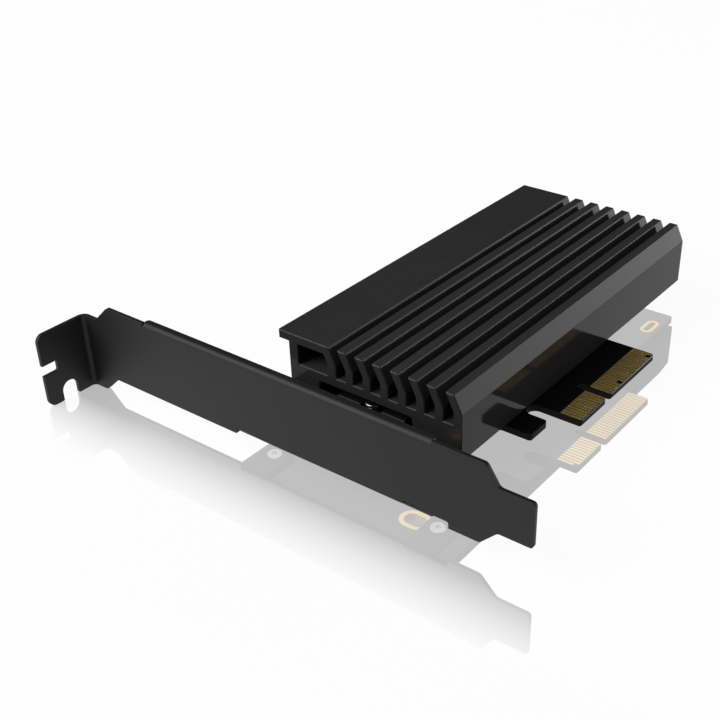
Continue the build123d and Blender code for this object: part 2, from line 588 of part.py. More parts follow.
parts = {
    "bracket": bracket(),
    "circuit_board": board(),
    "edge_contacts_component_side": edge_contacts(0, 1, SHORT_FINGERS_COMPONENT_SIDE),
    "edge_contacts_solder_side": edge_contacts(z_solder, -1, SHORT_FINGERS_SOLDER_SIDE),
    "front_slot_plating": slot_plating(front_slot, FRONT_SLOT_LENGTH, FRONT_SLOT_WIDTH, FRONT_SLOT_LAND, False,
                                       ((0, 1), (z_solder, -1))),
    "rear_slot_plating": slot_plating(rear_slot, REAR_SLOT_LENGTH, REAR_SLOT_WIDTH, REAR_SLOT_LAND, True,
                                      ((z_solder, -1),)),
    "heatsink": heatsink(),
    "standoff": standoff(),
    "standoff_nut": hex_nut(x_drive, y_post, z_solder - STANDOFF_NUT_HEIGHT, STANDOFF_NUT_FLATS,
                            STANDOFF_NUT_HEIGHT, STUD_RADIUS + THREAD_CLEARANCE),
    "drive_screw": drive_screw(),
    "board_thermal_pad": board_thermal_pad(),
    "heatsink_thermal_pad": heatsink_thermal_pad(),
    "socket_housing": socket_housing(),
    "socket_contacts_upper": socket_contacts(upper_pin, 1),
    "socket_contacts_lower": socket_contacts(lower_pin, 2),
}
for number, (x, y) in enumerate(bracket_screws, 1):
    screw_length = BRACKET_NUT_HEIGHT + STUD_PAST_NUT - z_tab
    parts[f"bracket_screw_{number}"] = screw_up(x, y, z_tab, BRACKET_SCREW_RADIUS, screw_length,
                                                BRACKET_SCREW_HEAD_RADIUS, BRACKET_SCREW_HEAD_HEIGHT)
    parts[f"bracket_nut_{number}"] = hex_nut(x, y, 0, BRACKET_NUT_FLATS, BRACKET_NUT_HEIGHT,
                                             BRACKET_SCREW_RADIUS + THREAD_CLEARANCE)
for number, (x, y) in enumerate(heatsink_screws, 1):
    parts[f"heatsink_screw_{number}"] = screw_up(x, y, z_solder, HEATSINK_SCREW_RADIUS,
                                                 BOARD_THICKNESS + HEATSINK_SCREW_GRIP,
                                                 HEATSINK_SCREW_HEAD_RADIUS, HEATSINK_SCREW_HEAD_HEIGHT)
for number in range(CAPACITOR_COUNT):
    x = x_drive + (number - (CAPACITOR_COUNT - 1) / 2) * CAPACITOR_SPACING
    parts[f"bulk_capacitor_{number + 1}"] = capacitor(x, socket_back + CAPACITOR_BEHIND_SOCKET)

for node, shape in parts.items():
    export_step(shape, f"parts/{node}.step")
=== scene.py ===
import json
import logging
import math
from collections.abc import Callable, Iterator
from contextlib import contextmanager
from dataclasses import dataclass
from enum import Enum

import bmesh
import bpy
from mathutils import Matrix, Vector


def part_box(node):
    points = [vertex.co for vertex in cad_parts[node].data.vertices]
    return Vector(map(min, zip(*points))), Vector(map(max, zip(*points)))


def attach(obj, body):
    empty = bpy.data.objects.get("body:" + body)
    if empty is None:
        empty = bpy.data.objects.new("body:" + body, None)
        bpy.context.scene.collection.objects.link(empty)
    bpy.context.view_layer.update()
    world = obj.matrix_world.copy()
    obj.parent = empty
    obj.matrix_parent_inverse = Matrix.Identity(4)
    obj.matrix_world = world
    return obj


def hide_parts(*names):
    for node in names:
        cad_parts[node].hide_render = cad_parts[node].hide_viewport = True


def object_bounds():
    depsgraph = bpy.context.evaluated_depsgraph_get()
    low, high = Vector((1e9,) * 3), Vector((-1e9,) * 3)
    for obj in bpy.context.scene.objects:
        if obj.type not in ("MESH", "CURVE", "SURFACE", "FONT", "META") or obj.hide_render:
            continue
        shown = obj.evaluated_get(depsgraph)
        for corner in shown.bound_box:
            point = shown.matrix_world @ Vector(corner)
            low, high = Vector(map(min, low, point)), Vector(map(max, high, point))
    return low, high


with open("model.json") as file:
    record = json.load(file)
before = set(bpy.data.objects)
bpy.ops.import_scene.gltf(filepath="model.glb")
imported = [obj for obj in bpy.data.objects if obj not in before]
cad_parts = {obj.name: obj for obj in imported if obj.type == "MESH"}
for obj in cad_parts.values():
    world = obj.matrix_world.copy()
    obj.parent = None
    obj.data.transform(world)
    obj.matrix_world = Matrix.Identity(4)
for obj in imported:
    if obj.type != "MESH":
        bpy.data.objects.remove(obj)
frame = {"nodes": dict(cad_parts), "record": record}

LOG = logging.getLogger("adapter_card")
MM = 0.001
MICRON = 0.001 * MM
CAD_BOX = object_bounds()

# Camera of the photograph: place in millimetres, turn in degrees, lens and frame in pixels
FRAME_PIXELS = 720
FOCAL_PIXELS = 1146.57
CENTRE_PIXEL = (436.78, 380.91)
CAMERA_PLACE_MM = (92.35, -194.12, 134.44)
CAMERA_AZIMUTH = 35.52
CAMERA_ELEVATION = 31.67
SENSOR_MM = 36.0

# How far the bracket's flange stands out in front of the bracket's face
FLANGE_DEPTH = 12.9 * MM

# Corners nearer than this become one, and edges that turn more than this stay sharp
MERGE_GAP = MICRON
SMOOTH_ANGLE = math.radians(32.0)

# The largest weight: beside a rounding, the flat faces keep their own normals
FLAT_WEIGHT = 100

# Least upward part of a top face's normal, and greatest of a side face's
TOP_FACE = 0.9
SIDE_FACE = 0.5

# A noise's usual lows and highs, and how much it breaks up the wear and painted highlight of an edge
NOISE_RANGE = (0.3, 0.7)
WEAR_AND_HIGHLIGHT_RANGE = (0.4, 1.4)

Place = tuple[float, float, float]
Box = tuple[Place, Place]


class Axis(Enum):
    """Way that a screw's shank points from its head."""

    UP = 0.0
    DOWN = math.pi


class Workbench:
    """Hand operations on one piece at a time."""

    @staticmethod
    def pick(*pieces: bpy.types.Object) -> None:
        """Selects these pieces alone and makes the first one active.

        Args:
            pieces: The pieces to work on.
        """
        bpy.ops.object.select_all(action="DESELECT")
        for piece in pieces:
            piece.select_set(True)
        bpy.context.view_layer.objects.active = pieces[0]

    @staticmethod
    @contextmanager
    def editing(piece: bpy.types.Object) -> Iterator[None]:
        """Opens a piece in edit mode with nothing selected.

        Args:
            piece: The piece to shape.
        """
        Workbench.pick(piece)
        bpy.ops.object.mode_set(mode="EDIT")
        bpy.ops.mesh.select_mode(type="VERT")
        bpy.ops.mesh.select_all(action="DESELECT")
        yield
        bpy.ops.object.mode_set(mode="OBJECT")

    @staticmethod
    def select_edges(piece: bpy.types.Object, wanted: Callable[[Vector, Vector], bool]) -> None:
        """Adds edges to the selection.

        Args:
            piece: The piece in edit mode.
            wanted: Says from an edge's two ends whether it is taken.
        """
        bpy.ops.mesh.select_mode(type="EDGE")
        mesh = bmesh.from_edit_mesh(piece.data)
        for edge in mesh.edges:
            if wanted(edge.verts[0].co, edge.verts[1].co):
                edge.select_set(True)
        bmesh.update_edit_mesh(piece.data)

    @staticmethod
    def select_faces(piece: bpy.types.Object, wanted: Callable[[Vector, Vector], bool]) -> None:
        """Adds faces to the selection.

        Args:
            piece: The piece in edit mode.
            wanted: Says from a face's middle and normal whether it is taken.
        """
        bpy.ops.mesh.select_mode(type="FACE")
        mesh = bmesh.from_edit_mesh(piece.data)
        for face in mesh.faces:
            if wanted(face.calc_center_median(), face.normal):
                face.select_set(True)
        bmesh.update_edit_mesh(piece.data)

    @staticmethod
    def rod(radius: float, low: float, high: float, sides: int = 40) -> bpy.types.Object:
        """Adds an upright cylinder on the Z axis.

        Args:
            radius: Its radius.
            low: Height of its lower end.
            high: Height of its upper end.
            sides: Number of its sides.

        Returns:
            The new piece.
        """
        bpy.ops.mesh.primitive_cylinder_add(vertices=sides, radius=radius, depth=high - low,
                                            location=(0.0, 0.0, (low + high) / 2))
        return Workbench.settle(bpy.context.active_object)

    @staticmethod
    def block(size: Place, centre: Place) -> bpy.types.Object:
        """Adds a box.

        Args:
            size: Its three sides.
            centre: Its middle.

        Returns:
            The new piece.
        """
        bpy.ops.mesh.primitive_cube_add(size=1.0, location=centre, scale=size)
        return Workbench.settle(bpy.context.active_object)

    @staticmethod
    def settle(piece: bpy.types.Object) -> bpy.types.Object:
        """Puts a piece's place, turn and scale into its mesh.

        Args:
            piece: The piece.

        Returns:
            The same piece.
        """
        Workbench.pick(piece)
        bpy.ops.object.transform_apply(location=True, rotation=True, scale=True)
        return piece

    @staticmethod
    def modify(piece: bpy.types.Object, kind: str, **settings: object) -> None:
        """Adds a modifier and applies it.

        Args:
            piece: The piece.
            kind: The modifier's Blender type.
            settings: Its properties.
        """
        Workbench.pick(piece)
        modifier = piece.modifiers.new(kind.lower(), kind)
        for name, value in settings.items():
            setattr(modifier, name, value)
        bpy.ops.object.modifier_apply(modifier=modifier.name)

    @staticmethod
    def combine(piece: bpy.types.Object, tool: bpy.types.Object, operation: str) -> None:
        """Joins, cuts or trims a piece with a tool body, and throws the tool away.

        Args:
            piece: The piece.
            tool: The body that shapes it.
            operation: UNION, DIFFERENCE or INTERSECT.
        """
        Workbench.modify(piece, "BOOLEAN", object=tool, operation=operation, solver="EXACT", use_self=True)
        bpy.data.objects.remove(tool)

    @staticmethod
    def ease(piece: bpy.types.Object, width: float, segments: int, angle: float = 30.0) -> None:
        """Rounds every edge that is sharper than an angle.

        Args:
            piece: The piece.
            width: Width of the rounding.
            segments: Faces across it.
            angle: Sharpest turn that is left alone, in degrees.
        """
        Workbench.modify(piece, "BEVEL", width=width, segments=segments, limit_method="ANGLE",
                         angle_limit=math.radians(angle), use_clamp_overlap=False)

    @staticmethod
    def clean(piece: bpy.types.Object, gap: float = MERGE_GAP) -> None:
        """Merges doubled corners and turns all faces outwards.

        Args:
            piece: The piece.
            gap: Corners nearer than this become one.
        """
        with Workbench.editing(piece):
            bpy.ops.mesh.select_all(action="SELECT")
            bpy.ops.mesh.remove_doubles(threshold=gap)
            bpy.ops.mesh.normals_make_consistent(inside=False)

    @staticmethod
    def smooth(piece: bpy.types.Object) -> None:
        """Shades the rounded faces smooth and keeps the sharp edges sharp.

        Args:
            piece: The piece.
        """
        Workbench.pick(piece)
        bpy.ops.object.shade_smooth_by_angle(angle=SMOOTH_ANGLE)
        Workbench.modify(piece, "WEIGHTED_NORMAL", keep_sharp=True, weight=FLAT_WEIGHT)

    @staticmethod
    def twin(piece: bpy.types.Object, place: Place, axis: Axis = Axis.UP) -> bpy.types.Object:
        """Copies a finished piece, with a mesh of its own, to a place.

        Args:
            piece: The model to copy.
            place: Where the model's origin goes.
            axis: Up as modelled, or turned upside down.

        Returns:
            The copy.
        """
        copy = bpy.data.objects.new(piece.name, piece.data.copy())
        bpy.context.scene.collection.objects.link(copy)
        copy.location = place
        copy.rotation_euler = (axis.value, 0.0, 0.0)
        return Workbench.settle(copy)

    @staticmethod
    def hand_over(piece: bpy.types.Object, node: str) -> None:
        """Lets a finished piece stand for a CAD node.

        Args:
            piece: The finished piece.
            node: The node that it replaces.
        """
        piece.name = f"{node}_dressed"
        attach(piece, "root")
        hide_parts(node)
        LOG.info("%s replaces %s", piece.name, node)


class NodeTree:
    """A shader node tree with short calls for adding and linking nodes."""

    def __init__(self, tree: bpy.types.NodeTree) -> None:
        """Keeps the tree and clears what it holds.

        Args:
            tree: The material's or the group's node tree.
        """
        self.tree = tree
        self.tree.nodes.clear()

    def add(self, kind: str, inputs: dict | None = None, **settings: object) -> bpy.types.Node:
        """Adds one node.

        Args:
            kind: The node's Blender type, such as ShaderNodeBump.
            inputs: Values or output sockets for its inputs, by the input's name or number.
            settings: Properties of the node itself.

        Returns:
            The new node.
        """
        node = self.tree.nodes.new(kind)
        for name, value in settings.items():
            setattr(node, name, value)
        for name, value in (inputs or {}).items():
            if isinstance(value, bpy.types.NodeSocket):
                self.tree.links.new(value, node.inputs[name])
            else:
                node.inputs[name].default_value = value
        return node

    def math(self, operation: str, *values: object) -> bpy.types.NodeSocket:
        """Adds a Math node and returns its result.

        Args:
            operation: The Math node's operation.
            values: Numbers or sockets, in order.

        Returns:
            The node's value output.
        """
        return self.add("ShaderNodeMath", dict(enumerate(values)), operation=operation).outputs[0]

    def blend(self, factor: object, low: object, high: object) -> bpy.types.NodeSocket:
        """Mixes two colours.

        Args:
            factor: Number or socket from 0 to 1.
            low: Colour or socket at 0.
            high: Colour or socket at 1.

        Returns:
            The mixed colour.
        """
        node = self.add("ShaderNodeMix", {0: factor, 6: low, 7: high}, data_type="RGBA")
        return node.outputs[2]

    def spread(self, factor: object, low: float, high: float) -> bpy.types.NodeSocket:
        """Maps a mask from 0 to 1 onto a range of numbers.

        Args:
            factor: The mask.
            low: Value at 0.
            high: Value at 1.

        Returns:
            The mapped value.
        """
        return self.add("ShaderNodeMapRange", {0: factor, 3: low, 4: high}).outputs[0]

    def stretch(self, value: object, low: float, high: float) -> bpy.types.NodeSocket:
        """Maps a range of numbers onto a mask from 0 to 1.

        Args:
            value: The number's socket.
            low: Value that becomes 0.
            high: Value that becomes 1.

        Returns:
            The mask.
        """
        return self.add("ShaderNodeMapRange", {0: value, 1: low, 2: high}).outputs[0]


class Effect:
    """A shader node group that several materials use, built once."""

    name = "effect"
    inputs: dict[str, float] = {}
    outputs: dict[str, str] = {}

    def group(self) -> bpy.types.NodeTree:
        """Returns the group, and builds it at its first use."""
        found = bpy.data.node_groups.get(self.name)
        return found if found else self.make()

    def make(self) -> bpy.types.NodeTree:
        """Makes the group with its named sockets and fills it.

        Returns:
            The new group.
        """
        group = bpy.data.node_groups.new(self.name, "ShaderNodeTree")
        for name, value in self.inputs.items():
            socket = group.interface.new_socket(name=name, in_out="INPUT", socket_type="NodeSocketFloat")
            socket.default_value = value
        for name, kind in self.outputs.items():
            group.interface.new_socket(name=name, in_out="OUTPUT", socket_type=kind)
        tree = NodeTree(group)
        source = tree.add("NodeGroupInput")
        results = self.fill(tree, source)
        tree.add("NodeGroupOutput", results)
        return group

    def fill(self, tree: NodeTree, source: bpy.types.Node) -> dict[str, bpy.types.NodeSocket]:
        """Adds the group's own nodes.

        Args:
            tree: The group's tree.
            source: The group's input node.

        Returns:
            A socket for each named output.
        """
        raise NotImplementedError

    def place(self, tree: NodeTree, **values: object) -> bpy.types.Node:
        """Adds the group to a material.

        Args:
            tree: The material's tree.
            values: Input values, with underscores for the spaces in their names.

        Returns:
            The group node.
        """
        inputs = {name.replace("_", " "): value for name, value in values.items()}
        node = tree.add("ShaderNodeGroup", node_tree=self.group())
        for name, value in inputs.items():
            node.inputs[name].default_value = value
        return node


class Grain(Effect):
    """Fine even grain, such as powder coat, solder mask or moulded plastic."""

    name = "surface_grain"
    inputs = {"Scale": 1500.0, "Depth": 1.0, "Cloud Scale": 40.0}
    outputs = {"Mask": "NodeSocketFloat", "Cloud": "NodeSocketFloat", "Height": "NodeSocketFloat"}

    def fill(self, tree: NodeTree, source: bpy.types.Node) -> dict[str, bpy.types.NodeSocket]:
        """Mixes a fine and a broad noise on Object coordinates.

        Args:
            tree: The group's tree.
            source: The group's input node.

        Returns:
            A socket for each named output.
        """
        place = tree.add("ShaderNodeTexCoord").outputs["Object"]
        fine = tree.add("ShaderNodeTexNoise", {"Vector": place, "Scale": source.outputs["Scale"],
                                               "Detail": 3.0, "Roughness": 0.6})
        broad = tree.add("ShaderNodeTexNoise", {"Vector": place, "Scale": source.outputs["Cloud Scale"],
                                                "Detail": 2.0})
        mask = tree.spread(fine.outputs[0], 0.0, 1.0)
        cloud = tree.stretch(broad.outputs[0], *NOISE_RANGE)
        height = tree.math("MULTIPLY", fine.outputs[0], source.outputs["Depth"])
        return {"Mask": mask, "Cloud": cloud, "Height": height}


class DieLines(Effect):
    """Faint straight lines along Y, as an extrusion has from its die."""

    name = "die_lines"
    inputs = {"Lines": 2600.0, "Length": 6.0, "Depth": 1.0}
    outputs = {"Mask": "NodeSocketFloat", "Height": "NodeSocketFloat"}

    def fill(self, tree: NodeTree, source: bpy.types.Node) -> dict[str, bpy.types.NodeSocket]:
        """Stretches noise along Y.

        Args:
            tree: The group's tree.
            source: The group's input node.

        Returns:
            A socket for each named output.
        """
        place = tree.add("ShaderNodeTexCoord").outputs["Object"]
        stretch = tree.add("ShaderNodeCombineXYZ", {0: source.outputs["Lines"], 1: source.outputs["Length"],
                                                    2: source.outputs["Lines"]})
        across = tree.add("ShaderNodeVectorMath", {0: place, 1: stretch.outputs[0]}, operation="MULTIPLY")
        noise = tree.add("ShaderNodeTexNoise", {"Vector": across.outputs[0], "Scale": 1.0, "Detail": 2.0})
        mask = tree.stretch(noise.outputs[0], *NOISE_RANGE)
        return {"Mask": mask, "Height": tree.math("MULTIPLY", mask, source.outputs["Depth"])}


class EdgeWearAndHighlight(Effect):
    """Worn edges with a painted highlight: a mask where the surface turns, and the normal of a slightly rounded
    edge.
    """

    name = "edge_wear_and_highlight"
    inputs = {"Width": 0.15 * MM, "Gain": 6.0, "Breakup": 900.0}
    outputs = {"Mask": "NodeSocketFloat", "Normal": "NodeSocketVector"}

    def fill(self, tree: NodeTree, source: bpy.types.Node) -> dict[str, bpy.types.NodeSocket]:
        """Compares the rounded normal with the flat one.

        Args:
            tree: The group's tree.
            source: The group's input node.

        Returns:
            A socket for each named output.
        """
        flat = tree.add("ShaderNodeNewGeometry").outputs["True Normal"]
        rounded = tree.add("ShaderNodeBevel", {"Radius": source.outputs["Width"]}, samples=6).outputs[0]
        same = tree.add("ShaderNodeVectorMath", {0: flat, 1: rounded}, operation="DOT_PRODUCT").outputs["Value"]
        turn = tree.math("MULTIPLY", tree.math("SUBTRACT", 1.0, same), source.outputs["Gain"])
        place = tree.add("ShaderNodeTexCoord").outputs["Object"]
        noise = tree.add("ShaderNodeTexNoise", {"Vector": place, "Scale": source.outputs["Breakup"]})
        # The noise breaks up the mask, which stands for both edge wear and a painted edge highlight
        worn_and_lit = tree.math("MULTIPLY", turn, tree.spread(noise.outputs[0], *WEAR_AND_HIGHLIGHT_RANGE))
        clamped = tree.add("ShaderNodeClamp", {0: worn_and_lit}).outputs[0]
        return {"Mask": clamped, "Normal": rounded}


@dataclass(frozen=True)
class Finish:
    """A finish with a cloudy colour, fine grain and a lighter edge colour that is partly wear, partly a painted
    highlight; gloss is its specular level.
    """

    name: str
    dark: tuple[float, float, float]
    light: tuple[float, float, float]
    # Colour of the turned edges: partly wear, partly a painted highlight
    edge: tuple[float, float, float]
    roughness: tuple[float, float] = (0.4, 0.5)
    metallic: float = 0.0
    gloss: float = 0.5
    grain_scale: float = 1500.0
    grain_height: float = 10.0 * MICRON
    edge_width: float = 0.12 * MM
    edge_gain: float = 3.0

    def material(self) -> bpy.types.Material:
        """Returns the material, and builds it at its first use."""
        found = bpy.data.materials.get(self.title())
        return found if found else self.build()

    def title(self) -> str:
        """Name of the material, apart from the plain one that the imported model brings."""
        return f"{self.name}_finish"

    def build(self) -> bpy.types.Material:
        """Builds the node tree.

        Returns:
            The new material.
        """
        material = bpy.data.materials.new(self.title())
        material.use_nodes = True
        tree = NodeTree(material.node_tree)
        grain = Grain().place(tree, Scale=self.grain_scale)
        wear_and_highlight = EdgeWearAndHighlight().place(tree, Width=self.edge_width, Gain=self.edge_gain)
        colour, relief = self.pattern(tree, grain)
        # Lighter colour on the turned edges: partly wear, partly a painted highlight
        colour = tree.blend(wear_and_highlight.outputs["Mask"], colour, (*self.edge, 1.0))
        bump = tree.add("ShaderNodeBump", {"Height": relief, "Distance": self.grain_height,
                                           "Normal": wear_and_highlight.outputs["Normal"]})
        shader = tree.add("ShaderNodeBsdfPrincipled", {
            "Base Color": colour, "Roughness": tree.spread(grain.outputs["Mask"], *self.roughness),
            "Metallic": self.metallic, "Specular IOR Level": self.gloss, "Normal": bump.outputs[0]})
        tree.add("ShaderNodeOutputMaterial", {"Surface": shader.outputs[0]})
        return material

    def pattern(self, tree: NodeTree, grain: bpy.types.Node) -> tuple:
        """Colour and height of the finish before its edges get their lighter colour of wear and painted
        highlight.

        Args:
            tree: The material's tree.
            grain: The grain group placed in it.

        Returns:
            A colour socket and a height socket.
        """
        return self.shade(tree, grain.outputs["Cloud"]), grain.outputs["Height"]

    def shade(self, tree: NodeTree, mask: bpy.types.NodeSocket) -> bpy.types.NodeSocket:
        """Mixes the finish's dark and light colour.

        Args:
            tree: The material's tree.
            mask: 0 for the dark colour and 1 for the light one.

        Returns:
            The colour.
        """
        return tree.blend(mask, (*self.dark, 1.0), (*self.light, 1.0))


@dataclass(frozen=True)
class ExtrudedFinish(Finish):
    """Anodised extrusion: the grain is crossed by die lines along its length."""

    line_height: float = 0.5

    def pattern(self, tree: NodeTree, grain: bpy.types.Node) -> tuple:
        """Adds the die lines to the colour and the height.

        Args:
            tree: The material's tree.
            grain: The grain group placed in it.

        Returns:
            A colour socket and a height socket.
        """
        lines = DieLines().place(tree, Depth=self.line_height)
        cloud = tree.math("MULTIPLY", grain.outputs["Cloud"], lines.outputs["Mask"])
        return self.shade(tree, cloud), tree.math("ADD", grain.outputs["Height"], lines.outputs["Height"])


@dataclass(frozen=True)
class BoardFinish(Finish):
    """Solder mask over copper: tracks stand up faintly under the gloss."""

    track_scale: float = 700.0
    track_edge: tuple[float, float] = (0.35, 0.45)
    track_height: float = 0.6

    def pattern(self, tree: NodeTree, grain: bpy.types.Node) -> tuple:
        """Raises tracks from a cell pattern.

        Args:
            tree: The material's tree.
            grain: The grain group placed in it.

        Returns:
            A colour socket and a height socket.
        """
        place = tree.add("ShaderNodeTexCoord").outputs["Object"]
        cells = tree.add("ShaderNodeTexVoronoi", {"Vector": place, "Scale": self.track_scale},
                         distance="CHEBYCHEV", feature="SMOOTH_F1")
        tracks = tree.stretch(cells.outputs["Distance"], *self.track_edge)
        raised = tree.math("MULTIPLY", tracks, self.track_height)
        return self.shade(tree, grain.outputs["Cloud"]), tree.math("ADD", grain.outputs["Height"], raised)


# The third colour of each finish is its edge colour: partly wear, partly a painted highlight
POWDER_COAT = Finish("black_powder_coat", (0.009, 0.009, 0.0093), (0.012, 0.012, 0.0124), (0.024, 0.024, 0.025),
                     roughness=(0.46, 0.52), gloss=0.26, grain_scale=2600.0, grain_height=0.8 * MICRON)
SOLDER_MASK = BoardFinish("black_solder_mask", (0.0028, 0.0028, 0.003), (0.004, 0.004, 0.0042),
                          (0.03, 0.029, 0.026), roughness=(0.09, 0.13), gloss=0.5, grain_height=0.6 * MICRON)
LAMINATE = Finish("board_laminate", (0.004, 0.0038, 0.003), (0.007, 0.0065, 0.005), (0.03, 0.028, 0.024),
                  roughness=(0.55, 0.65), gloss=0.08, grain_scale=5000.0, grain_height=3.0 * MICRON)
GOLD = Finish("gold_plating", (0.72, 0.52, 0.16), (0.95, 0.7, 0.24), (0.95, 0.78, 0.4),
              roughness=(0.42, 0.5), metallic=1.0, grain_scale=4000.0, grain_height=3.0 * MICRON,
              edge_width=0.03 * MM)
ANODISED = ExtrudedFinish("black_anodised_aluminium", (0.029, 0.029, 0.0295), (0.037, 0.037, 0.0375),
                          (0.06, 0.06, 0.062), roughness=(0.08, 0.1), gloss=0.1, grain_scale=3500.0,
                          grain_height=0.4 * MICRON, edge_width=0.06 * MM)
STEEL = Finish("screw_steel", (0.4, 0.4, 0.41), (0.55, 0.55, 0.56), (0.7, 0.7, 0.7),
               roughness=(0.25, 0.38), metallic=1.0, grain_scale=5000.0, grain_height=3.0 * MICRON)
POST_METAL = Finish("post_metal", (0.5, 0.47, 0.41), (0.62, 0.59, 0.52), (0.75, 0.73, 0.68),
                    roughness=(0.2, 0.3), metallic=1.0, grain_scale=5000.0, grain_height=3.0 * MICRON)
PAD = Finish("thermal_pad", (0.012, 0.012, 0.013), (0.018, 0.018, 0.019), (0.024, 0.024, 0.025),
             roughness=(0.45, 0.6), grain_scale=1800.0, grain_height=30.0 * MICRON)
SOCKET_PLASTIC = Finish("socket_plastic", (0.01, 0.01, 0.01), (0.016, 0.016, 0.016), (0.03, 0.03, 0.03),
                        roughness=(0.45, 0.6), grain_scale=4000.0, grain_height=10.0 * MICRON)
CERAMIC = Finish("capacitor_ceramic", (0.2, 0.13, 0.075), (0.28, 0.19, 0.11), (0.32, 0.22, 0.13),
                 roughness=(0.5, 0.62), grain_scale=5000.0, grain_height=5.0 * MICRON)
TIN = Finish("capacitor_tin", (0.5, 0.5, 0.49), (0.62, 0.62, 0.61), (0.7, 0.7, 0.7),
             roughness=(0.35, 0.5), metallic=1.0, grain_scale=3000.0, grain_height=6.0 * MICRON)

FINISH_OF_SLOT = {finish.name: finish for finish in
                  (POWDER_COAT, SOLDER_MASK, GOLD, ANODISED, STEEL, POST_METAL, PAD, SOCKET_PLASTIC, CERAMIC)}
SLOT_OF_NODE = {row["node"]: row["material_slot"] for row in frame["record"]["subparts"]}
FINISH_OF_NODE = {node: FINISH_OF_SLOT[slot] for node, slot in SLOT_OF_NODE.items()}


@dataclass(frozen=True)
class EasedCopy:
    """A CAD piece with its sharp edges broken, made from a merged copy of its mesh."""

    node: str
    width: float
    segments: int = 3
    weld: float = MERGE_GAP
    angle: float = 20.0
    flatness: float = 0.2
    side_finish: Finish | None = None

    def build(self) -> bpy.types.Object:
        """Merges a copy of the node's mesh, rounds its edges and dresses it.

        Returns:
            The finished piece.
        """
        piece = bpy.data.objects.new(self.node, frame["nodes"][self.node].data.copy())
        bpy.context.scene.collection.objects.link(piece)
        piece.data.materials.clear()
        piece.data.materials.append(FINISH_OF_NODE[self.node].material())
        Workbench.clean(piece, self.weld)
        with Workbench.editing(piece):
            bpy.ops.mesh.select_all(action="SELECT")
            bpy.ops.mesh.dissolve_degenerate(threshold=self.weld / 2)
            bpy.ops.mesh.select_all(action="SELECT")
            bpy.ops.mesh.dissolve_limited(angle_limit=math.radians(self.flatness))
        if self.side_finish:
            self.dress_sides(piece)
        Workbench.ease(piece, self.width, self.segments, self.angle)
        Workbench.smooth(piece)
        Workbench.hand_over(piece, self.node)
        return piece

    def dress_sides(self, piece: bpy.types.Object) -> None:
        """Gives the upright faces a finish of their own.

        Args:
            piece: The copy, before its edges are rounded.
        """
        piece.data.materials.append(self.side_finish.material())
        with Workbench.editing(piece):
            Workbench.select_faces(piece, lambda _, normal: abs(normal.z) < SIDE_FACE)
            piece.active_material_index = 1
            bpy.ops.object.material_slot_assign()


class Repeated:
    """A small piece that is modelled once and copied to the place of each of its nodes."""

    nodes: tuple[str, ...]
    axis: Axis = Axis.UP

    def model(self, box: Box) -> bpy.types.Object:
        """Models the piece at the origin.

        Args:
            box: The first node's box.

        Returns:
            The model.
        """
        raise NotImplementedError

    def seat(self, box: Box) -> Place:
        """Finds where the model's origin goes.

        Args:
            box: The node's box.

        Returns:
            The place.
        """
        raise NotImplementedError

    def build(self) -> None:
        """Models one piece and puts a copy in the place of each node."""
        model = self.model(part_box(self.nodes[0]))
        for node in self.nodes:
            Workbench.hand_over(Workbench.twin(model, self.seat(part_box(node)), self.axis), node)
        bpy.data.objects.remove(model)


